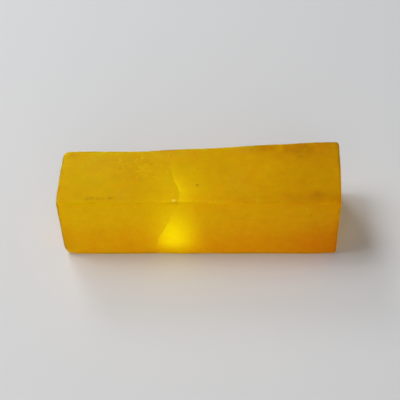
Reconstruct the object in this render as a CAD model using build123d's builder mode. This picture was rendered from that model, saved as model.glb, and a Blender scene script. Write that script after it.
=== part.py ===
from build123d import *
import os

# A clay bar: a hand-cut length of waxy, translucent putty that lies on one long side. A fracture
# crosses it from the top face to the foot, so it is two lengths that lie end to end and pull
# apart along X. A few grains of picked-up grit sit in shallow pockets in the top face.
#
# Frame: +X along the bar, +Y from the front face to the back face, +Z up, with the origin at the
# centre of the bar's footprint box, on the surface that it lies on. Millimetres.

os.makedirs("parts", exist_ok=True)

# The bar as it was cut
front_length = 100.0  # along the front face's top edge
height = 27.2
left_depth = 26.6  # front to back at the left end
right_depth = 32.1  # front to back at the right end
kink_from_left = 28.0  # the back face runs straight up to here, then flares out
kink_radius = 150.0
left_end_skew = 0.35  # how far the left end runs in from front to back
left_end_lean = 1.15  # how far the left end runs in from top to foot
right_end_skew = 2.1  # how far the right end runs out from front to back
right_end_lean = 0.5  # how far the right end runs out from top to foot
edge_radius = 1.2  # every edge is worn round
blank_margin = 6.0  # stock beyond each end, before the end cuts

# The fracture: its line on the front face, as heights and how far it is from the bar's left
# end, and how it runs on to the back face
fracture_line = [(42.5, height), (40.2, 20.3), (35.4, 8.3), (34.4, 0.0)]
fracture_skew = -0.15  # X per millimetre of Y
fracture_gap = 0.12

# The grit: grains that stand a little proud of the top face, each placed by how far it is from
# the bar's left end and from its front face
grain_radius = 0.36
grain_height = 0.5
grain_sink = 0.28
grain_taper = 12.0
grain_sides = 6
short_piece_grains = [(11.2, 2.3), (12.5, 2.5), (14.4, 2.1), (16.3, 2.0), (18.9, 2.4)]
long_piece_grains = [(49.4, 8.9), (91.4, 4.4)]

# Places that follow from these
left_x = -(front_length + right_end_skew + right_end_lean) / 2
right_x = left_x + front_length
front_y = -right_depth / 2
overrun = 5.0  # how far a cutting shape runs past the bar


def in_frame(points):
    """Points given from the bar's front left corner, as points in the part's frame."""
    return [(left_x + along, front_y + back) for along, back in points]


def one_side_of_fracture(shift, far_x):
    """Outline, seen from the front, of all that is on one side of the fracture."""
    top_along, top_z = fracture_line[0]
    foot_along, foot_z = fracture_line[-1]
    line = [(top_along, top_z + overrun)] + fracture_line + [(foot_along, foot_z - overrun)]
    wall = [(left_x + along + shift, z) for along, z in line]
    return wall + [(far_x, foot_z - overrun), (far_x, top_z + overrun)]


# The whole bar: a block with a flared back, cut off at both ends and rounded at every edge
back_flare = (right_depth - left_depth) / (front_length - kink_from_left)
plan_corners = [
    (left_x - blank_margin, front_y),
    (right_x + blank_margin, front_y),
    (right_x + blank_margin, front_y + right_depth + back_flare * blank_margin),
    (left_x + kink_from_left, front_y + left_depth),
    (left_x - blank_margin, front_y + left_depth),
]
left_end = Plane(
    origin=(left_x, front_y, height),
    z_dir=(-1, left_end_skew / left_depth, -left_end_lean / height),
)
right_end = Plane(
    origin=(right_x, front_y, height),
    z_dir=(1, -right_end_skew / right_depth, right_end_lean / height),
)

with BuildPart() as bar:
    with BuildSketch() as plan:
        with BuildLine():
            Polyline(*plan_corners, close=True)
        make_face()
        kink = plan.vertices().sort_by_distance((*plan_corners[3], 0))[0]
        fillet(kink, radius=kink_radius)
    extrude(amount=height)
    split(bisect_by=left_end, keep=Keep.BOTTOM)
    split(bisect_by=right_end, keep=Keep.BOTTOM)
    kink_seams = bar.edges().filter_by(Axis.Z).filter_by_position(Axis.X, left_x + 5, right_x - 5)
    fillet(bar.edges() - kink_seams, radius=edge_radius)


# The grit, one group of grains for each length of the bar
with BuildPart() as grit_on_short_piece:
    with BuildSketch(Plane.XY.offset(height - grain_sink)):
        with Locations(*in_frame(short_piece_grains)):
            RegularPolygon(radius=grain_radius, side_count=grain_sides)
    extrude(amount=grain_height, taper=grain_taper)
grit_on_short_piece.part.label = "grit_on_short_piece"

with BuildPart() as grit_on_long_piece:
    with BuildSketch(Plane.XY.offset(height - grain_sink)):
        with Locations(*in_frame(long_piece_grains)):
            RegularPolygon(radius=grain_radius, side_count=grain_sides)
    extrude(amount=grain_height, taper=grain_taper)
grit_on_long_piece.part.label = "grit_on_long_piece"


# The two lengths, one on each side of the fracture, with pockets where their grains sit
fracture_face = Plane.XZ.offset(overrun - front_y)
fracture_run = (fracture_skew, 1, 0)
fracture_reach = right_depth + 2 * overrun
# the sketch stands this far in front of the bar, so the skewed run starts that much to the right
start_shift = -fracture_skew * overrun

with BuildPart() as clay_short_piece:
    add(bar.part)
    with BuildSketch(fracture_face):
        with BuildLine():
            side = one_side_of_fracture(start_shift - fracture_gap / 2, left_x - 2 * overrun)
            Polyline(*side, close=True)
        make_face()
    extrude(amount=fracture_reach, dir=fracture_run, mode=Mode.INTERSECT)
    add(grit_on_short_piece.part, mode=Mode.SUBTRACT)
clay_short_piece.part.label = "clay_short_piece"

with BuildPart() as clay_long_piece:
    add(bar.part)
    with BuildSketch(fracture_face):
        with BuildLine():
            side = one_side_of_fracture(start_shift + fracture_gap / 2, right_x + 2 * overrun)
            Polyline(*side, close=True)
        make_face()
    extrude(amount=fracture_reach, dir=fracture_run, mode=Mode.INTERSECT)
    add(grit_on_long_piece.part, mode=Mode.SUBTRACT)
clay_long_piece.part.label = "clay_long_piece"


export_step(clay_long_piece.part, "parts/clay_long_piece.step")
export_step(clay_short_piece.part, "parts/clay_short_piece.step")
export_step(grit_on_long_piece.part, "parts/grit_on_long_piece.step")
export_step(grit_on_short_piece.part, "parts/grit_on_short_piece.step")
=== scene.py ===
import itertools
import math
from types import SimpleNamespace

import bmesh
import bpy
import numpy as np
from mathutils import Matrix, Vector


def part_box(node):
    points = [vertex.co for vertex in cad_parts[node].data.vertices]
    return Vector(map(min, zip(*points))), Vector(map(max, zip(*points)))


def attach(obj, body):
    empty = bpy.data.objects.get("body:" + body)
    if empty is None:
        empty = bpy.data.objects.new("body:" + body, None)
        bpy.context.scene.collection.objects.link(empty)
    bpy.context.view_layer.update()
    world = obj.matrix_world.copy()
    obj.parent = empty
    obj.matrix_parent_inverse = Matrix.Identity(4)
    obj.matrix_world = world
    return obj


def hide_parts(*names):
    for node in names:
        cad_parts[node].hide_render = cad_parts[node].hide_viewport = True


# A waxy, translucent clay bar, broken across into a long and a short piece. Each piece is a
# dense skin worked out from the bar's box, with the wear, pits, cut marks and fracture of the
# real surface in its mesh, and the finer grain in its material. Metres, in the CAD's frame:
# +X along the bar, +Y from the front face to the back face, +Z up.

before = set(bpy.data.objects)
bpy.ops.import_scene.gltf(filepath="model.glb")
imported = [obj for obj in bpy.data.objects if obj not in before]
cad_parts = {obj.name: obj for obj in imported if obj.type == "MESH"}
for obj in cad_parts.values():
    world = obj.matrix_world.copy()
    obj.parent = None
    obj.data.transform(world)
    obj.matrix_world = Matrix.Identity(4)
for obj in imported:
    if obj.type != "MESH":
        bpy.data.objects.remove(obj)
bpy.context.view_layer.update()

MM = 0.001
LONG = "clay_long_piece"
SHORT = "clay_short_piece"
GRIT_ON = {LONG: "grit_on_long_piece", SHORT: "grit_on_short_piece"}
BODY_OF = {LONG: "long_piece", SHORT: "short_piece"}
NAME_OF = {LONG: "long", SHORT: "short"}

# ---------------------------------------------------------------------------------------------
# The bar's faces, from the frame's boxes and the CAD's driving dimensions

long_low, long_high = (np.array(corner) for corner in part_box(LONG))
short_low = np.array(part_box(SHORT)[0])
LEFT_X = short_low[0]
RIGHT_X = long_high[0]
FRONT_Y = long_low[1]
HEIGHT = long_high[2]
RIGHT_DEPTH = long_high[1] - FRONT_Y

LEFT_DEPTH = 26.6 * MM
KINK_X = LEFT_X + 28.0 * MM  # the back face runs straight up to here, then flares out
KINK_EASE = 4.0 * MM
LEFT_SKEW = 0.35 * MM
LEFT_LEAN = 1.15 * MM
RIGHT_SKEW = 2.1 * MM
RIGHT_LEAN = 0.5 * MM

# The fracture's line on the front face: heights, and how far each is from the bar's left end
FRACTURE_HEIGHTS = np.array([0.0, 8.3, 20.3, 27.2]) * MM
FRACTURE_PLACES = np.array([34.4, 35.4, 40.2, 42.5]) * MM
FRACTURE_MIDDLE_X = LEFT_X + 38.0 * MM
FRACTURE_SKEW = -0.15
FRACTURE_GAP = 0.02 * MM
FRACTURE_STEP_OUT = 1.4 * MM  # the line on the top face steps to the right, this far back
FRACTURE_STEP_BACK = 6.2 * MM

# The fracture's face: ribs that spread from a place near the foot, on a wavy and torn wall
RIBS_FROM_BACK = 4.0 * MM
RIBS_FROM_HEIGHT = 2.0 * MM
RIB_SPACING = 3.1 * MM
RIB_DEPTH = 0.07 * MM
TORN_DEPTH = 0.09 * MM
WAVE_DEPTH = 0.25 * MM

# Smooth noise: how many random values it goes through, and how its cells are told apart
NOISE_VALUES = 8191
CELL_STRIDES = np.array([374761393, 668265263, 1274126177])


def smooth_noise(points, size, seed):
    """Smooth noise from -1 to 1 with features of about that size, the same on every run."""
    table = np.random.default_rng(seed).uniform(-1, 1, NOISE_VALUES)
    cells = np.asarray(points) / size
    base = np.floor(cells).astype(np.int64)
    part = cells - base
    part = part * part * (3 - 2 * part)
    total = np.zeros(len(cells))
    for corner in itertools.product((0, 1), repeat=3):
        place = base + np.array(corner)
        key = (place * CELL_STRIDES).sum(axis=1) % NOISE_VALUES
        total += table[key] * np.prod(np.where(corner, part, 1 - part), axis=1)
    return total


def smooth_step(value, start, end):
    """0 at the start and 1 at the end, easing in and out."""
    share = np.clip((value - start) / (end - start), 0, 1)
    return share * share * (3 - 2 * share)


def bell(value, middle, low_reach, high_reach):
    """A soft hump, 1 at its middle, that may fall off faster on one side."""
    reach = np.where(value < middle, low_reach, high_reach)
    return np.exp(-0.5 * ((value - middle) / reach) ** 2)


def fade(distance, reach):
    """1 at no distance, and falling off."""
    return np.exp(-np.maximum(distance, 0) / reach)


def back_y(x):
    """The back face, straight from the left end and then flared towards the right end."""
    slope = (RIGHT_DEPTH - LEFT_DEPTH) / (RIGHT_X - KINK_X)
    past = x - KINK_X
    eased = 0.5 * (past + np.sqrt(past * past + KINK_EASE * KINK_EASE))
    return FRONT_Y + LEFT_DEPTH + slope * eased


def left_end_x(y, z):
    """The left end's face."""
    return LEFT_X + LEFT_SKEW * (y - FRONT_Y) / LEFT_DEPTH + LEFT_LEAN * (1 - z / HEIGHT)


def right_end_x(y, z):
    """The right end's face."""
    return RIGHT_X - RIGHT_LEAN * z / HEIGHT - RIGHT_SKEW * (1 - (y - FRONT_Y) / RIGHT_DEPTH)


def fracture_x(y, z):
    """The fracture's face, with its step on the top face, its ribs and a fine torn edge."""
    back = y - FRONT_Y
    x = LEFT_X + np.interp(z, FRACTURE_HEIGHTS, FRACTURE_PLACES) + FRACTURE_SKEW * back
    stepped = bell(back, FRACTURE_STEP_BACK, 3.0 * MM, 4.0 * MM)
    x += FRACTURE_STEP_OUT * stepped * np.clip(z / HEIGHT, 0, 1) ** 2
    from_foot = np.hypot(back - RIBS_FROM_BACK, z - RIBS_FROM_HEIGHT)
    place = np.stack([from_foot, back, z], axis=1)
    turns = from_foot / RIB_SPACING + 0.6 * smooth_noise(place, 7 * MM, 11)
    x += RIB_DEPTH * np.sin(2 * math.pi * turns)
    x += TORN_DEPTH * smooth_noise(place, 1.3 * MM, 12)
    x += 0.5 * TORN_DEPTH * smooth_noise(place, 0.6 * MM, 13)
    return x + WAVE_DEPTH * smooth_noise(place, 6 * MM, 14)


# ---------------------------------------------------------------------------------------------
# A skin of quads over a block, which the two pieces are bent out of

EDGE_RADIUS = 0.95 * MM
EDGE_RADIUS_VARIES = 0.35 * MM
STEP = 0.42 * MM  # between the points of the skin
EDGE_STEP = 0.24 * MM
EDGE_BAND = 2.2 * MM  # how far from an edge the points are closer together
FRACTURE_STEP = 0.13 * MM
FRACTURE_BAND = 1.2 * MM
TINY = 1e-12


def spaced(length, fine_start=True):
    """Places from 0 to length, a step apart, and closer together over the edge at each end."""
    places = [0.0]
    while places[-1] < length:
        near_start = fine_start and places[-1] < EDGE_BAND
        near_end = places[-1] > length - EDGE_BAND - STEP
        places.append(places[-1] + (EDGE_STEP if near_start or near_end else STEP))
    return np.array(places) * (length / places[-1])


def block_skin(x_places, y_places, z_places):
    """(points, quads) of a block's six faces as one closed skin."""
    shape = (len(x_places), len(y_places), len(z_places))
    i, j, k = np.indices(shape)
    on_skin = np.zeros(shape, bool)
    for index, count in zip((i, j, k), shape):
        on_skin |= (index == 0) | (index == count - 1)
    number = np.full(shape, -1)
    number[on_skin] = np.arange(on_skin.sum())

    def side(grid, turned):
        quads = np.stack([grid[:-1, :-1], grid[1:, :-1], grid[1:, 1:], grid[:-1, 1:]], axis=-1)
        quads = quads.reshape(-1, 4)
        return quads[:, ::-1] if turned else quads

    quads = np.concatenate([
        side(number[0], True), side(number[-1], False),
        side(number[:, 0], False), side(number[:, -1], True),
        side(number[:, :, 0], True), side(number[:, :, -1], False),
    ])
    points = np.stack([x_places[i[on_skin]], y_places[j[on_skin]], z_places[k[on_skin]]], axis=1)
    return points, quads


def piece_skin(is_long):
    """(points, quads, outward directions, how far along from the fracture) of one piece's skin.

    The block's X runs from the fracture, at 0, to the piece's outer end, at its length. On the
    fracture's own face the outward directions are nought, so that nothing wears it in."""
    outer_x = RIGHT_X if is_long else LEFT_X
    length = abs(outer_x - FRACTURE_MIDDLE_X)
    near_fracture = np.arange(0.0, FRACTURE_BAND, FRACTURE_STEP)
    x_places = spaced(length, fine_start=False)
    x_places = x_places[x_places > near_fracture[-1] + FRACTURE_STEP]
    x_places = np.concatenate([near_fracture, x_places])
    points, quads = block_skin(x_places, spaced(RIGHT_DEPTH), spaced(HEIGHT))

    # the block's edges rounded off, more here and less there, except round the fracture
    size = np.array([length, RIGHT_DEPTH, HEIGHT])
    radius = EDGE_RADIUS + EDGE_RADIUS_VARIES * smooth_noise(points, 9 * MM, 21 if is_long else 22)
    low = np.stack([np.zeros(len(points)), radius, radius], axis=1)
    core = np.clip(points, low, size - radius[:, None])
    off = points - core
    reach = np.abs(off).max(axis=1)
    outward = off / np.maximum(np.linalg.norm(off, axis=1), TINY)[:, None]
    rounded = core + outward * reach[:, None]

    # the block bent to the bar's faces, which depend on each other, so it takes a few rounds
    share = rounded[:, 0] / length
    z = rounded[:, 2]
    x = (1 - share) * FRACTURE_MIDDLE_X + share * outer_x
    for _ in range(3):
        y = FRONT_Y + rounded[:, 1] / RIGHT_DEPTH * (back_y(x) - FRONT_Y)
        end = right_end_x(y, z) if is_long else left_end_x(y, z)
        half_gap = FRACTURE_GAP * (0.5 if is_long else -0.5)
        x = (1 - share) * (fracture_x(y, z) + half_gap) + share * end
    placed = np.stack([x, y, z], axis=1)
    if not is_long:
        outward = outward * np.array([-1, 1, 1])
        quads = quads[:, ::-1]
    return placed, quads, outward * np.clip(reach / radius, 0, 1)[:, None], rounded[:, 0]


# ---------------------------------------------------------------------------------------------
# Wear, cut marks, pits and chips, as how far each point goes in from the true faces

WAVES = [  # depth, size, seed: from the slow swells of the faces to their fine grain
    (0.15 * MM, 17 * MM, 41),
    (0.05 * MM, 5 * MM, 42),
    (0.018 * MM, 1.5 * MM, 43),
    (0.010 * MM, 0.7 * MM, 44),
]
WAVES_START = 0.1075 * MM  # how far in the faces are, between the waves
BLADE_STEPS = (1.15 * MM, 2.9 * MM)  # the blade's fine marks down the ends, and its wide ones
BLADE_DEPTH = 0.05 * MM
DRAG_DEPTH = 0.022 * MM
TORN_PATCH_DEPTH = 0.08 * MM
CRUMBLED_DEPTH = 0.09 * MM

ROUGH_PATCH = np.array([-23.5 * MM, 2.5 * MM, HEIGHT])  # a torn patch of the top face
ROUGH_PATCH_SIZE = np.array([8.5 * MM, 5.0 * MM, 3.0 * MM])
ROUGH_PITS = 60
ROUGH_PIT_RADII = (0.3 * MM, 0.75 * MM)
ROUGH_PIT_DEPTH = 0.25  # of its radius
OTHER_PITS = 150
OTHER_PIT_RADII = (0.25 * MM, 0.6 * MM)
OTHER_PIT_DEPTH = 0.2
LEAST_HEIGHT = 0.02 * MM  # of every point, so that none goes under the floor

CHIPS = [  # place, radius, depth
    (np.array([LEFT_X, FRONT_Y + LEFT_DEPTH, HEIGHT]), 2.2 * MM, 0.45 * MM),
    (np.array([LEFT_X, FRONT_Y, HEIGHT]), 1.8 * MM, 0.12 * MM),
    (np.array([LEFT_X + LEFT_LEAN, FRONT_Y, 0.0]), 2.4 * MM, 0.45 * MM),
    (np.array([RIGHT_X, FRONT_Y + RIGHT_DEPTH, HEIGHT]), 2.0 * MM, 0.2 * MM),
    (np.array([RIGHT_X, FRONT_Y, 0.0]), 2.2 * MM, 0.3 * MM),
]


def over_rough_patch(rng, count, share):
    """Random places on the top face, strewn round the middle of the rough patch."""
    return ROUGH_PATCH + rng.normal(0, 1, (count, 3)) * ROUGH_PATCH_SIZE * np.array([share, share, 0])


def all_pits():
    """Every pit in the bar's surface, as (place, radius, depth), the same on every run."""
    rng = np.random.default_rng(31)
    places = over_rough_patch(rng, ROUGH_PITS, 0.8)
    radii = rng.uniform(*ROUGH_PIT_RADII, ROUGH_PITS)
    pits = [(place, radius, radius * ROUGH_PIT_DEPTH) for place, radius in zip(places, radii)]
    middle = np.array([0, 0, HEIGHT / 2])
    reach = np.array([RIGHT_X, RIGHT_DEPTH / 2, HEIGHT / 2])
    for _ in range(OTHER_PITS):
        place = middle + rng.uniform(-1, 1, 3) * reach
        face = rng.integers(0, 3)
        place[face] = middle[face] + reach[face] * rng.choice([-1, 1])
        radius = rng.uniform(*OTHER_PIT_RADII)
        pits.append((place, radius, radius * OTHER_PIT_DEPTH))
    return pits


def blade_marks(points):
    """The marks that the blade left down the two cut ends, from about -1 to 1."""
    across = points[:, 1] * 0.94 + points[:, 2] * 0.34 + 0.5 * MM * smooth_noise(points, 8 * MM, 45)
    fine, wide = (np.sin(math.pi * across / step) for step in BLADE_STEPS)
    return np.abs(fine) + 0.6 * wide - 0.5


def relief(points, outward, along):
    """(how far each point goes in, how pitted it is from 0 to 1)."""
    depth = np.full(len(points), WAVES_START)
    for deep, size, seed in WAVES:
        depth += deep * smooth_noise(points, size, seed)

    # the blade's marks run down the two cut ends, and long faint drag lines along the sides
    endward = np.abs(outward[:, 0])
    depth += endward * BLADE_DEPTH * blade_marks(points)
    drag = smooth_noise(points * np.array([0.07, 1.0, 1.0]), 1.1 * MM, 46)
    depth += (1 - endward) * DRAG_DEPTH * drag

    patch = np.exp(-(((points - ROUGH_PATCH) / ROUGH_PATCH_SIZE) ** 2).sum(axis=1))
    torn = np.abs(smooth_noise(points, 1.6 * MM, 47)) + 0.6 * np.abs(smooth_noise(points, 0.8 * MM, 48))
    depth += patch * TORN_PATCH_DEPTH * torn
    pitted = 0.5 * patch * np.clip(torn - 0.4, 0, 1)

    for place, radius, deep in all_pits():
        near = np.linalg.norm(points - place, axis=1) / radius
        inside = near < 1
        bowl = (1 - near[inside] ** 2) ** 1.5
        depth[inside] += deep * bowl
        pitted[inside] = np.maximum(pitted[inside], bowl)

    # the fracture's lips are a little crumbled, most on the top face near the front
    crumbled = 0.25 + 0.75 * bell(points[:, 1] - FRONT_Y, 3.5 * MM, 2 * MM, 2 * MM)
    crumbs = smooth_noise(points, 1.1 * MM, 50) + 0.5 * smooth_noise(points, 0.5 * MM, 51)
    depth += fade(along, 0.2 * MM) * crumbled * CRUMBLED_DEPTH * np.clip(crumbs, 0, 2)
    return depth, np.clip(pitted, 0, 1)


def wear_in(points, outward, along):
    """(points moved in by the relief and the chips, how pitted each is)."""
    depth, pitted = relief(points, outward, along)
    underside = np.clip(-outward[:, 2], 0, 1)
    depth = depth * (1 - 0.75 * underside)
    wear_and_edge_darkening = points - outward * depth[:, None]
    centre = np.array([0, FRONT_Y + LEFT_DEPTH / 2, HEIGHT / 2])
    for place, radius, deep in CHIPS:
        near = np.linalg.norm(points - place, axis=1) / radius
        push = deep * np.exp(-near ** 2) * (1 + 0.3 * smooth_noise(points, 1.2 * MM, 49))
        wear_and_edge_darkening += push[:, None] * np.sign(centre - place)
    wear_and_edge_darkening[:, 2] = np.maximum(wear_and_edge_darkening[:, 2], LEAST_HEIGHT)
    return wear_and_edge_darkening, pitted


# ---------------------------------------------------------------------------------------------
# What the surface's colour goes by, worked out for each point of the mesh

# The studio's lights, mostly from the left and behind: name, direction, distance, size, watts
LIGHTS = [
    ("light_behind", (-0.40, 0.70, 0.60), 1.2, 0.35, 2.8),
    ("light_above", (-0.50, 0.28, 0.82), 1.2, 0.6, 3.5),
    ("light_left", (-0.55, 0.0, 0.83), 1.2, 0.5, 4.3),
    ("light_front", (0.0, -0.90, 0.45), 1.4, 1.0, 4.1),
]

# The glow beside the fracture's foot: its brightest place, and how far it reaches each way
GLOW_X = -10.2 * MM
GLOW_Z = 7.8 * MM
GLOW_LEFT = 4.6 * MM
GLOW_RIGHT = 5.1 * MM
GLOW_BELOW = 3.8 * MM
GLOW_ABOVE = 8.6 * MM
GLOW_BACK = 9.0 * MM

# Soft marks under the surface: place and reach in millimetres, strength
HAZES = [
    ((15.5, 11.5, 27.2), (2.6, 1.6, 2.0), 1.0),
    ((-39.0, 4.0, 27.2), (6.0, 5.0, 3.0), 0.5),
    ((12.5, -4.5, 27.2), (2.4, 5.0, 2.0), 0.35),
    ((-28.5, -12.5, 27.2), (1.6, 2.0, 2.0), 0.5),
    ((-14.0, 9.5, 27.2), (8.0, 2.4, 2.0), 0.6),
    ((-36.0, 6.0, 27.2), (7.0, 3.0, 2.0), 0.5),
    ((-18.0, 16.0, 14.0), (9.0, 2.0, 6.0), 0.6),
    ((33.0, 16.0, 18.0), (7.0, 3.0, 5.0), 0.5),
]
SMUDGES = [
    ((24.5, 12.4, 27.2), (5.5, 2.0, 2.0), 1.0),
    ((34.5, 10.8, 27.2), (5.6, 3.6, 2.0), 1.0),
    ((46.0, 14.5, 27.2), (5.0, 1.6, 2.0), 0.8),
    ((-24.0, 2.0, 27.2), (7.0, 4.5, 2.0), 0.12),
    ((-46.5, 8.5, 27.2), (1.6, 1.1, 1.5), 0.5),
    ((-36.0, -13.8, 27.2), (4.2, 1.0, 1.2), 0.12),
    ((40.5, -12.0, 27.2), (1.7, 1.3, 1.2), 0.65),
    ((-19.5, -16.0, 5.5), (4.6, 1.5, 3.6), 0.26),
    ((5.0, 15.0, 8.0), (12.0, 3.0, 4.0), 0.5),
    ((51.0, 3.0, 9.0), (2.0, 6.0, 5.0), 0.5),
]
# painted glints, on small pale nicks beside the fracture and along the ridge
NICK_GLINTS = [  # small and pale, beside the fracture and along the ridge
    ((-10.0, -14.7, 27.2), (0.44, 0.42, 0.6), 1.0),
    ((-11.2, -16.0, 19.6), (0.36, 0.60, 0.30), 0.28),
    ((1.0, -15.6, 27.1), (1.5, 0.35, 0.25), 0.10),
    ((6.6, -15.5, 27.1), (0.6, 0.30, 0.25), 0.13),
    ((19.2, -15.5, 27.1), (0.5, 0.30, 0.25), 0.18),
]
# painted glints, in the rough patch
BRIGHT_DOTS = 34  # in the rough patch
BRIGHT_DOT_SIZES = (0.16, 0.36)
BRIGHT_DOT_STRENGTHS = (0.10, 0.42)
STAIN_SIZE = {LONG: (0.6, 0.45, 0.5), SHORT: (0.9, 0.5, 0.5)}  # round each grain of grit
STAIN_STRENGTH = 0.65


def marks(points, table, seed, torn):
    """How strongly a table of soft marks shows at each point, with their edges torn that much."""
    total = np.zeros(len(points))
    for place, reach, strength in table:
        near = (((points - np.array(place) * MM) / (np.array(reach) * MM)) ** 2).sum(axis=1)
        total = np.maximum(total, strength * np.exp(-0.5 * near))
    cloud = 0.7 * smooth_noise(points, 2.2 * MM, seed) + 0.4 * smooth_noise(points, 0.9 * MM, seed + 1)
    return np.clip(total * (1 + torn * cloud), 0, 1)


def bright_dots():
    """Painted glints: small bright dots that stand out in the rough patch, as a table of marks."""
    rng = np.random.default_rng(33)
    places = over_rough_patch(rng, BRIGHT_DOTS, 0.75) / MM
    sizes = rng.uniform(*BRIGHT_DOT_SIZES, (BRIGHT_DOTS, 3))
    return list(zip(places, sizes, rng.uniform(*BRIGHT_DOT_STRENGTHS, BRIGHT_DOTS)))


def survey(points, outward, along, is_long):
    """Where each point of a piece is on the bar, and which way it faces, as named arrays."""
    x, y, z = points.T
    side = 1 if is_long else -1
    return SimpleNamespace(
        points=points, x=x, z=z, outward=outward, along=along, is_long=is_long,
        from_fracture=side * np.maximum(side * (x - fracture_x(y, z)), 0),
        rightward=np.clip((x - LEFT_X) / (RIGHT_X - LEFT_X), 0, 1),
        to_front=y - FRONT_Y,
        to_back=back_y(x) - y,
        to_top=HEIGHT - z,
        to_end=np.minimum(right_end_x(y, z) - x, x - left_end_x(y, z)),
        endward=np.abs(outward[:, 0]),
        frontward=np.clip(-outward[:, 1], 0, 1),
        backward=np.clip(outward[:, 1], 0, 1),
        upward=np.clip(outward[:, 2], 0, 1),
    )


def footward(here):
    """1 near the foot and 0 near the top."""
    return smooth_step(here.z, 20 * MM, 6 * MM)


def sunny_end(here):
    """1 on the end that faces the lights."""
    return smooth_step(-here.outward[:, 0], 0.3, 0.9)


def away_from_nick(here):
    """0 at the pale nick where the fracture meets the ridge, and 1 away from it."""
    return 1 - bell(here.x, -9.6 * MM, 5 * MM, 5 * MM)


def less_darkened_rim(here):
    """1 along the front part of the right end's top edge, which is darkened less than the others."""
    rim = smooth_step(here.x, 40 * MM, 46 * MM) * smooth_step(here.to_front, 20 * MM, 12 * MM)
    return rim * smooth_step(here.z, HEIGHT - 4 * MM, HEIGHT - 1 * MM)


def lit_rim(here):
    """That edge's outermost line, which lets more light out."""
    return less_darkened_rim(here) * fade(here.to_end, 0.8 * MM)


def blade_streaks(here):
    """The blade's marks where they show on the two cut ends."""
    on_ends = (here.along > 0.5 * MM) * np.clip(here.endward, 0, 1)
    return blade_marks(here.points) * (0.6 + 0.6 * smooth_noise(here.points, 9 * MM, 97)) * on_ends


def how_orange(here):
    """How orange the wax is: painted light and shade, least at the top left towards the lights and most
    at the foot, the right end, the ridge and the lit rim, with random patches too.
    """
    near_front = fade(here.to_front, 5 * MM)
    warmth = 0.025 + 0.27 * here.rightward + 0.07 * near_front
    warmth += footward(here) * (0.23 + 0.05 * here.rightward)
    warmth += 0.11 * smooth_step(here.x, 26 * MM, 50 * MM) * near_front
    unseen = np.maximum(here.endward, here.backward)
    warmth += (0.05 + 0.06 * unseen) * smooth_noise(here.points, 12 * MM, 81)
    warmth += (0.04 + 0.05 * unseen) * smooth_noise(here.points, 4 * MM, 82)
    ridge_line = fade(np.hypot(here.to_front, here.to_top), 0.9 * MM)
    return warmth + 0.10 * ridge_line + 0.15 * lit_rim(here)


def orange_rims(here):
    """Painted light: orange where light comes through the thin wax of the edges: the top back one on the
    right, the ends' and the foot's.
    """
    back_rim = fade(np.hypot(here.to_back, here.to_top), 2.4 * MM)
    back_rim *= np.clip(1.9 * here.rightward - 0.45, 0, 1.3)
    return np.maximum.reduce([back_rim, fade(here.to_end, 1.4 * MM), 0.5 * fade(here.z, 1.6 * MM)])


def painted_ridge_shade(here):
    """Painted shade: a darker band along the top face just behind the front edge, on the right."""
    behind_ridge = bell(np.hypot(here.to_front - 2.6 * MM, here.to_top), 0, 1 * MM, 1.7 * MM)
    return behind_ridge * smooth_step(here.x, 8 * MM, 33 * MM)


def darkened_edges(here):
    """How much each edge but the front top one is darkened, least on the less darkened rim; along the
    front foot it is painted shade where the bar meets the floor.
    """
    pairs = [
        (here.to_end, here.to_front), (here.to_end, here.to_back), (here.to_end, here.to_top),
        (here.to_end, here.z), (here.to_back, here.to_top), (here.to_back, here.z),
        (here.to_front, here.z),
    ]
    to_edge = np.minimum.reduce([np.hypot(first, second) for first, second in pairs])
    uneven = 0.8 + 0.35 * smooth_noise(here.points, 2.5 * MM, 91)
    wear_and_edge_darkening = smooth_step(to_edge, 1.5 * MM, 0.5 * MM) * uneven
    wear_and_edge_darkening += 0.4 * smooth_step(np.hypot(here.to_front, here.z), 1.3 * MM, 0.6 * MM)
    return wear_and_edge_darkening * (1 - 0.6 * less_darkened_rim(here))


def fracture_lips(here):
    """(dark, bright) lines where the fracture comes out of the faces: painted shade in the break, and
    painted light where its lip catches the light.

    On the top face it is dark near the front edge and bright behind that. On the front face it
    is bright on its right and dark on its left. On the back face it is dark."""
    dark = fade(here.along, 0.22 * MM) * here.upward * bell(here.to_front, 3.6 * MM, 1.5 * MM, 1.5 * MM)
    bright = fade(here.along, 0.32 * MM) * here.upward * bell(here.to_front, 8.6 * MM, 2.4 * MM, 2.4 * MM)
    front_lip = fade(here.along, 0.3 * MM) * here.frontward * bell(here.z, 14 * MM, 4.5 * MM, 3.5 * MM)
    back_lip = 0.8 * fade(here.along, 0.3 * MM) * here.backward
    if here.is_long:
        return dark + back_lip, bright + 1.6 * front_lip
    return 0.3 * dark + back_lip + 0.8 * front_lip, 0.2 * bright


def fracture_glow(here):
    """Light that the fracture gathers: a bright foot, a lit sheet beside it, and a wide halo."""
    left_of_it = np.clip(0.5 - here.from_fracture / (0.3 * MM), 0, 1)
    cut_off = 0.58 - 0.2 * fade(-here.from_fracture, 2 * MM)
    cut_off *= left_of_it * bell(here.z, 13 * MM, 7 * MM, 5.5 * MM)
    core = bell(here.x, GLOW_X, GLOW_LEFT, GLOW_RIGHT) * bell(here.z, GLOW_Z, GLOW_BELOW, GLOW_ABOVE)
    core *= fade(here.to_front, GLOW_BACK) * (1 - cut_off)
    sheet = (1 - left_of_it) * fade(here.from_fracture, 5.5 * MM)
    sheet *= bell(here.to_front, 7 * MM, 6.5 * MM, 6.5 * MM) * (0.15 + 0.85 * here.upward)
    halo = bell(here.from_fracture, 0, 8 * MM, 7 * MM) * bell(here.to_front, 0, 1, 12 * MM)
    halo *= np.clip(here.z / (9 * MM), 0, 1)
    return core + 0.29 * sheet + halo * (0.12 + 0.08 * here.upward)


def lit_share(outward):
    """How much of the lights falls on each point, against what falls on the top face."""
    total = np.zeros(len(outward))
    top = 0.0
    for _, towards, distance, _, watts in LIGHTS:
        way = np.array(towards) / np.linalg.norm(towards)
        strength = watts / distance ** 2
        total += strength * np.clip(outward @ way, 0, None)
        top += strength * way[2]
    return total / top


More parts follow.
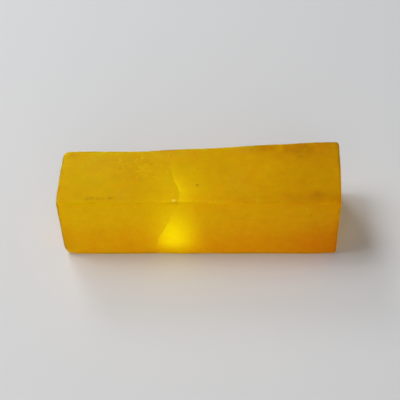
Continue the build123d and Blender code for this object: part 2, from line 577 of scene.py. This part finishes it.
def painted_shade_and_streaks(here):
    """How far the colour goes to black: painted shade on the right, at both feet and on the end that
    faces the lights, and the blade's streaks on the ends and a faint clouding on the top.
    """
    left_foot = 0.12 * fade(here.x - LEFT_X, 5 * MM) * smooth_step(here.z, 18 * MM, 4 * MM)
    right_foot = 0.06 * footward(here) * smooth_step(here.x, 38 * MM, 51 * MM)
    cloudy_top = 0.025 * here.upward * smooth_noise(here.points, 7 * MM, 99)
    dim = 0.13 * smooth_step(here.x, 5 * MM, 52 * MM) + 0.2 * sunny_end(here)
    return dim + left_foot + right_foot + 0.07 * blade_streaks(here) + cloudy_top


def light_from_inside(here):
    """How much light comes out through the wax: most on the sides that the lights don't reach."""
    inner = np.clip(1 - 1.25 * lit_share(here.outward), 0, 1)
    inner *= (1 - 0.12 * here.rightward) * (1 - 0.9 * sunny_end(here))
    lit_ridge = bell(here.to_top, 0.3 * MM, 0.4 * MM, 0.4 * MM) * fade(here.to_front, 0.6 * MM)
    return inner + 0.12 * lit_ridge * away_from_nick(here) + 0.32 * lit_rim(here)


def surface_facts(here, pitted, stains):
    """Named values for each point of a piece, mostly from 0 to 1, which its material reads."""
    glow = fracture_glow(here)
    nick_glints = marks(here.points, NICK_GLINTS, 89, 0.3)
    lip_shade, lit_lip = fracture_lips(here)
    # painted light: a glow out of the shaded right end and the underside, and painted glints on the
    # nicks, the fracture's lit lip and the rough patch's dots
    shaded_end = smooth_step(here.outward[:, 0], 0.6, 0.95)
    underside = smooth_step(-here.outward[:, 2], 0.72, 0.95)
    painted_glints = 0.65 * nick_glints + 0.18 * lit_lip + marks(here.points, bright_dots(), 93, 0.3)
    glowing_faces = shaded_end * (0.4 - 0.06 * blade_streaks(here)) + 0.6 * underside
    return {
        # the wax painted yellower where the fracture's painted glow is
        "warmth": how_orange(here) - 0.2 * np.clip(glow, 0, 1),
        "rim": orange_rims(here),
        "ridge": painted_ridge_shade(here),
        "pitted": pitted,
        "dim": painted_shade_and_streaks(here),
        "wear_and_edge_darkening": darkened_edges(here),
        "inner": light_from_inside(here),
        "glow": glow + painted_glints + glowing_faces,
        "lip_shade": lip_shade,
        "shallow": smooth_step(np.abs(here.from_fracture), 7 * MM, 0.0),
        "haze": marks(here.points, HAZES, 83, 1.0),
        "smudge": marks(here.points, SMUDGES, 85, 1.0),
        "stain": marks(here.points, stains, 87, 0.3),
        "nick_glint": nick_glints,
    }


def mesh_object(name, points, quads, facts):
    """A smooth-shaded mesh object with one float attribute for each fact."""
    mesh = bpy.data.meshes.new(name)
    mesh.from_pydata(points.tolist(), [], quads.tolist())
    mesh.shade_smooth()
    for fact_name, values in facts.items():
        layer = mesh.attributes.new(fact_name, "FLOAT", "POINT")
        layer.data.foreach_set("value", values.astype(np.float32))
    mesh.validate()
    piece = bpy.data.objects.new(name, mesh)
    bpy.context.scene.collection.objects.link(piece)
    return piece


def sharpen_fracture(piece, along):
    """Marks the rim of the fracture's face sharp, so that the break keeps a crisp edge."""
    on_face = along < TINY
    shape = bmesh.new()
    shape.from_mesh(piece.data)
    for edge in shape.edges:
        if all(on_face[vert.index] for vert in edge.verts):
            sides = [all(on_face[vert.index] for vert in face.verts) for face in edge.link_faces]
            edge.smooth = all(sides)
    shape.to_mesh(piece.data)
    shape.free()


def clay_piece(node):
    """The visible clay of one piece, in place of its CAD node."""
    is_long = node == LONG
    points, quads, outward, along = piece_skin(is_long)
    wear_and_edge_darkening, pitted = wear_in(points, outward, along)
    grains = grain_places(GRIT_ON[node])
    stains = [(place / MM, STAIN_SIZE[node], STAIN_STRENGTH) for place, _ in grains]
    facts = surface_facts(survey(points, outward, along, is_long), pitted, stains)
    piece = mesh_object(f"{NAME_OF[node]}_clay", wear_and_edge_darkening, quads, facts)
    sharpen_fracture(piece, along)
    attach(piece, BODY_OF[node])
    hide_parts(node)
    return piece


# ---------------------------------------------------------------------------------------------
# Grit: an irregular grain where each CAD grain sits

GRAIN_SEED = {LONG: 61, SHORT: 71}
GRAIN_LEAST = {LONG: 0.75, SHORT: 0.5}  # the least share of its CAD grain that a grain fills
GRAIN_VARIES = 0.3
GRAIN_FLATNESS = 0.75
GRAIN_SINK = 0.05 * MM
LUMPS = [(0.3, 0.35 * MM), (0.16, 0.16 * MM)]  # share of the grain's size, spacing


def grain_places(node):
    """The middle and the half-width of each CAD grain in a node."""
    shape = bmesh.new()
    shape.from_mesh(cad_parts[node].data)
    bmesh.ops.remove_doubles(shape, verts=shape.verts, dist=0.001 * MM)
    left = set(shape.verts)
    places = []
    while left:
        heap = [left.pop()]
        grain = list(heap)
        while heap:
            for edge in heap.pop().link_edges:
                for vert in edge.verts:
                    if vert in left:
                        left.remove(vert)
                        heap.append(vert)
                        grain.append(vert)
        corners = np.array([vert.co[:] for vert in grain])
        low, high = corners.min(axis=0), corners.max(axis=0)
        places.append(((low + high) / 2, (high - low)[0] / 2))
    shape.free()
    return sorted(places, key=lambda place: place[0][0])


def grit_piece(node):
    """The visible grains that sit in one piece of clay, in place of its CAD grains."""
    seed = GRAIN_SEED[node]
    rng = np.random.default_rng(seed)
    shape = bmesh.new()
    for centre, half in grain_places(GRIT_ON[node]):
        made = bmesh.ops.create_icosphere(shape, subdivisions=3, radius=half)["verts"]
        least = GRAIN_LEAST[node]
        squash = rng.uniform(least, least + GRAIN_VARIES, 3) * np.array([1, 1, GRAIN_FLATNESS])
        offset = rng.uniform(0, 1, 3)
        ball = np.array([vert.co[:] for vert in made])
        size = np.ones(len(ball))
        for number, (share, spacing) in enumerate(LUMPS):
            size += share * smooth_noise(ball + offset, spacing, seed + number)
        placed = centre + ball * squash * size[:, None] - np.array([0, 0, GRAIN_SINK])
        for vert, place in zip(made, placed):
            vert.co = Vector(place)
    name = f"{NAME_OF[node]}_grit"
    mesh = bpy.data.meshes.new(name)
    shape.to_mesh(mesh)
    shape.free()
    mesh.shade_smooth()
    piece = bpy.data.objects.new(name, mesh)
    bpy.context.scene.collection.objects.link(piece)
    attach(piece, BODY_OF[node])
    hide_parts(GRIT_ON[node])
    return piece


# ---------------------------------------------------------------------------------------------
# Materials

LEMON = (0.80, 0.51, 0.001, 1)
ORANGE = (0.80, 0.20, 0.001, 1)
HAZE = (0.78, 0.50, 0.030, 1)
# the smudges' colour, which also paints the shade behind the ridge
SMUDGE_AND_SHADE = (0.60, 0.22, 0.002, 1)
# what the darkened edges are multiplied by, which along the front foot is painted shade
EDGE_DARKENING = (0.71, 0.71, 1.0, 1)
# dirt's colour, which also paints the shade along the fracture's lips
DIRT_AND_CRACK_SHADE = (0.30, 0.14, 0.01, 1)
PALE = (0.98, 0.82, 0.28, 1)
BLACK = (0, 0, 0, 1)
GRIT_BROWNS = ((0.62, 0.27, 0.004, 1), (0.76, 0.36, 0.005, 1))
FLOOR_GREYS = ((0.78, 0.785, 0.79, 1), (0.80, 0.80, 0.80, 1))

# How much each of the mesh's facts shows, and the mottling that no fact tells of
FACT_SHARES = {
    "warmth": 1.0, "rim": 0.18, "haze": 0.30, "pitted": 0.28, "smudge": 0.62, "ridge": 0.25,
    "stain": 0.22, "lip_shade": 0.5, "nick_glint": 0.3, "dim": 1.0,
}
MOTTLES = {  # features per metre, detail, how much it shows
    "cloudy": (160.0, 4.0, 0.08),
    "fine": (900.0, 3.0, 0.06),
    "streaky": (700.0, 3.0, 0.03),
    "patchy": (320.0, 3.0, 0.055),
    "flecked": (1500.0, 2.0, 0.03),
}
MOTTLE_ROUGHNESS = 0.6
STREAK_STRETCH = (0.06, 1.0, 1.0)  # draws the streaks and the scratches out along the bar
DUST_SHARE = 0.25
NOISE_LOW = 0.3  # nearly all of a noise texture's values lie between these
NOISE_HIGH = 0.7

# The light inside the wax and on its skin
GLOW_COLOUR = (0.365, 0.355, 0.0, 1)
INNER_LIGHT = 0.388
SCATTER_RADIUS = (0.40, 1.0, 0.06)
SCATTER_SCALE = 5.0 * MM
SHALLOW_SCATTER = 0.05  # its share beside the fracture, so that the glow keeps a crisp edge
SKIN_ROUGHNESS = (0.38, 0.54)
SKIN_GLOSS = 0.06
SKIN_GLOSS_TINT = (1.0, 0.62, 0.03, 1)
DULL_GLOSS = 0.1


def new_material(name):
    """(material, its node tree, its Principled node)."""
    material = bpy.data.materials.new(name)
    material.use_nodes = True
    tree = material.node_tree
    return material, tree, tree.nodes["Principled BSDF"]


def plug_in(tree, socket, value):
    """Sets an input to a value, or links it to another node's output."""
    if isinstance(value, bpy.types.NodeSocket):
        tree.links.new(value, socket)
    else:
        socket.default_value = value


def add_node(tree, kind, values=None, **settings):
    """A node with its inputs set from values or linked from sockets."""
    made = tree.nodes.new(kind)
    for key, value in settings.items():
        setattr(made, key, value)
    for key, value in (values or {}).items():
        plug_in(tree, made.inputs[key], value)
    return made


def maths(tree, operation, first, second, third=0.0, clamp=False):
    """The result of a Math node."""
    values = {0: first, 1: second, 2: third}
    made = add_node(tree, "ShaderNodeMath", values, operation=operation, use_clamp=clamp)
    return made.outputs[0]


def shares(tree, *pairs):
    """The sum of values, each times its share, clamped to 0 to 1."""
    total = 0.0
    for value, share in pairs:
        total = maths(tree, "MULTIPLY_ADD", value, share, total, clamp=True)
    return total


def fact(tree, name):
    """A value that the mesh carries for each point."""
    return add_node(tree, "ShaderNodeAttribute", attribute_name=name).outputs["Fac"]


def shown(tree, name):
    """(a value that the mesh carries, how much it shows in the colour)."""
    return fact(tree, name), FACT_SHARES[name]


def object_place(tree):
    """Where on its object each point is."""
    return add_node(tree, "ShaderNodeTexCoord").outputs["Object"]


def noise(tree, place, features, detail=3.0, roughness=0.55):
    """Noise from 0 to 1, in features per metre."""
    values = {"Vector": place, "Scale": features, "Detail": detail, "Roughness": roughness}
    return add_node(tree, "ShaderNodeTexNoise", values).outputs["Fac"]


def remap(tree, value, from_low=NOISE_LOW, from_high=NOISE_HIGH, to_low=0.0, to_high=1.0):
    """A value's range stretched to another, and clamped."""
    values = {
        "Value": value, "From Min": from_low, "From Max": from_high,
        "To Min": to_low, "To Max": to_high,
    }
    return add_node(tree, "ShaderNodeMapRange", values, clamp=True).outputs[0]


def mottle(tree, place, name):
    """(a kind of mottling, how much it shows)."""
    features, detail, share = MOTTLES[name]
    return remap(tree, noise(tree, place, features, detail, MOTTLE_ROUGHNESS)), share


def blend_colours(tree, share, first, second, way="MIX"):
    """The first colour with a share of the second mixed in, added or multiplied."""
    made = add_node(tree, "ShaderNodeMix", data_type="RGBA", blend_type=way, clamp_factor=False)
    for index, value in ((0, share), (6, first), (7, second)):
        plug_in(tree, made.inputs[index], value)
    return made.outputs[2]


def wax_colour(tree, place, stretched):
    """The wax's colour, with its marks, and the light and shade painted into it."""
    # orange: painted light and shade, the rims' painted light, and random mottling
    warm = shares(
        tree, shown(tree, "warmth"), shown(tree, "rim"),
        mottle(tree, place, "cloudy"), mottle(tree, place, "fine"),
    )
    colour = blend_colours(tree, warm, LEMON, ORANGE)
    colour = blend_colours(tree, shares(tree, shown(tree, "haze")), colour, HAZE)
    colour = blend_colours(tree, shares(tree, shown(tree, "pitted")), colour, HAZE)
    # smudges, and painted shade behind the ridge
    smudges_and_ridge_shade = shares(tree, shown(tree, "smudge"), shown(tree, "ridge"))
    colour = blend_colours(tree, smudges_and_ridge_shade, colour, SMUDGE_AND_SHADE)
    # dust and stains round the grit, and painted shade along the fracture's lips
    dusty = remap(tree, noise(tree, place, 800.0, 2.0), 0.67, 0.75)
    dirt_and_crack_shade = shares(tree, (dusty, DUST_SHARE), shown(tree, "stain"), shown(tree, "lip_shade"))
    colour = blend_colours(tree, dirt_and_crack_shade, colour, DIRT_AND_CRACK_SHADE)
    # pale nicks, with painted glints on them
    colour = blend_colours(tree, shares(tree, shown(tree, "nick_glint")), colour, PALE)
    # darker edges, with painted shade along the front foot where the bar meets the floor
    colour = blend_colours(tree, fact(tree, "wear_and_edge_darkening"), colour, EDGE_DARKENING, "MULTIPLY")
    # painted shade, with the blade's streaks and random mottling
    dim = shares(
        tree, mottle(tree, stretched, "streaky"), mottle(tree, place, "patchy"),
        mottle(tree, place, "flecked"), shown(tree, "dim"),
    )
    return blend_colours(tree, dim, colour, BLACK)


def clay_material():
    """Amber wax: light scatters deep inside it, so it glows, and its skin is satin and scuffed."""
    material, tree, skin = new_material("amber_clay")
    place = object_place(tree)
    mapping = add_node(tree, "ShaderNodeMapping", {"Vector": place, "Scale": STREAK_STRETCH})
    stretched = mapping.outputs[0]
    colour = wax_colour(tree, place, stretched)
    plug_in(tree, skin.inputs["Base Color"], colour)

    # light comes through to the sides that the lights don't reach, and out of the fracture
    uneven = remap(tree, noise(tree, place, 500.0, 4.0), to_low=0.94, to_high=1.06)
    inner = maths(tree, "MULTIPLY", fact(tree, "inner"), INNER_LIGHT)
    inner = blend_colours(tree, maths(tree, "MULTIPLY", inner, uneven), BLACK, colour)
    glow = maths(tree, "MULTIPLY", fact(tree, "glow"), uneven)
    light = blend_colours(tree, glow, inner, GLOW_COLOUR, "ADD")
    plug_in(tree, skin.inputs["Emission Color"], light)
    plug_in(tree, skin.inputs["Emission Strength"], 1.0)

    rough_low, rough_high = SKIN_ROUGHNESS
    rough = remap(tree, noise(tree, place, 300.0, 4.0), to_low=rough_low, to_high=rough_high)
    rough = maths(tree, "MULTIPLY_ADD", fact(tree, "pitted"), 0.2, rough, clamp=True)
    plug_in(tree, skin.inputs["Roughness"], rough)

    grain = noise(tree, place, 1400.0, 4.0, MOTTLE_ROUGHNESS)
    pebbled = noise(tree, place, 520.0)
    scratches = noise(tree, stretched, 1900.0, 2.0)
    height = shares(tree, (grain, 0.2), (pebbled, 0.5), (scratches, 0.25))
    bump = add_node(tree, "ShaderNodeBump", {"Height": height, "Strength": 0.5, "Distance": 0.12 * MM})
    plug_in(tree, skin.inputs["Normal"], bump.outputs[0])

    shallow = SHALLOW_SCATTER * SCATTER_SCALE
    depth = remap(tree, fact(tree, "shallow"), 0.0, 1.0, SCATTER_SCALE, shallow)
    plug_in(tree, skin.inputs["Subsurface Weight"], 1.0)
    plug_in(tree, skin.inputs["Subsurface Radius"], SCATTER_RADIUS)
    plug_in(tree, skin.inputs["Subsurface Scale"], depth)
    plug_in(tree, skin.inputs["Specular IOR Level"], SKIN_GLOSS)
    plug_in(tree, skin.inputs["Specular Tint"], SKIN_GLOSS_TINT)
    return material


def grit_material():
    """Amber-brown mineral grains, dull and rough."""
    material, tree, skin = new_material("brown_grit")
    speckle = noise(tree, object_place(tree), 6000.0, 4.0)
    colour = blend_colours(tree, remap(tree, speckle, 0.35, 0.65), *GRIT_BROWNS)
    bump = add_node(tree, "ShaderNodeBump", {"Height": speckle, "Strength": 0.6, "Distance": 0.05 * MM})
    plug_in(tree, skin.inputs["Base Color"], colour)
    plug_in(tree, skin.inputs["Roughness"], remap(tree, speckle, to_low=0.6, to_high=0.85))
    plug_in(tree, skin.inputs["Specular IOR Level"], DULL_GLOSS)
    plug_in(tree, skin.inputs["Normal"], bump.outputs[0])
    return material


def floor_material():
    """Plain pale studio paper."""
    material, tree, skin = new_material("pale_floor")
    tone = remap(tree, noise(tree, object_place(tree), 3.0, 2.0))
    plug_in(tree, skin.inputs["Base Color"], blend_colours(tree, tone, *FLOOR_GREYS))
    plug_in(tree, skin.inputs["Roughness"], 0.9)
    plug_in(tree, skin.inputs["Specular IOR Level"], DULL_GLOSS)
    return material


# ---------------------------------------------------------------------------------------------
# Build the object

clay = clay_material()
grit = grit_material()
for node in (LONG, SHORT):
    clay_piece(node).data.materials.append(clay)
    grit_piece(node).data.materials.append(grit)

# ---------------------------------------------------------------------------------------------
# Stage, lights and camera

FLOOR_HALF = 3.0
SKY_COLOUR = (0.93, 0.95, 1.0, 1)
SKY_STRENGTH = 0.168
CAMERA_ELEVATION = math.radians(46)
CAMERA_PLACE = (-0.00088, -0.2660, 0.2875)
CAMERA_LENS = 93.6
CAMERA_SENSOR = 36.0

floor_mesh = bpy.data.meshes.new("floor")
corners = [(side * FLOOR_HALF, end * FLOOR_HALF, 0) for side, end in ((-1, -1), (1, -1), (1, 1), (-1, 1))]
floor_mesh.from_pydata(corners, [], [(0, 1, 2, 3)])
floor_mesh.materials.append(floor_material())
floor = bpy.data.objects.new("floor", floor_mesh)
bpy.context.scene.collection.objects.link(floor)

for light_name, towards, distance, size, watts in LIGHTS:
    data = bpy.data.lights.new(light_name, "AREA")
    data.shape = "SQUARE"
    data.size = size
    data.energy = watts
    light = bpy.data.objects.new(light_name, data)
    way = Vector(towards).normalized()
    light.location = way * distance
    light.rotation_euler = (-way).to_track_quat("-Z", "Y").to_euler()
    bpy.context.scene.collection.objects.link(light)

world = bpy.data.worlds.new("studio")
world.use_nodes = True
sky = world.node_tree.nodes["Background"]
sky.inputs["Color"].default_value = SKY_COLOUR
sky.inputs["Strength"].default_value = SKY_STRENGTH
bpy.context.scene.world = world
bpy.context.scene.view_settings.view_transform = "Standard"

camera_data = bpy.data.cameras.new("camera")
camera_data.lens = CAMERA_LENS
camera_data.sensor_width = CAMERA_SENSOR
camera_data.clip_start = 0.01
camera = bpy.data.objects.new("camera", camera_data)
camera.location = CAMERA_PLACE
camera.rotation_euler = (math.pi / 2 - CAMERA_ELEVATION, 0, 0)
bpy.context.scene.collection.objects.link(camera)
bpy.context.scene.camera = camera
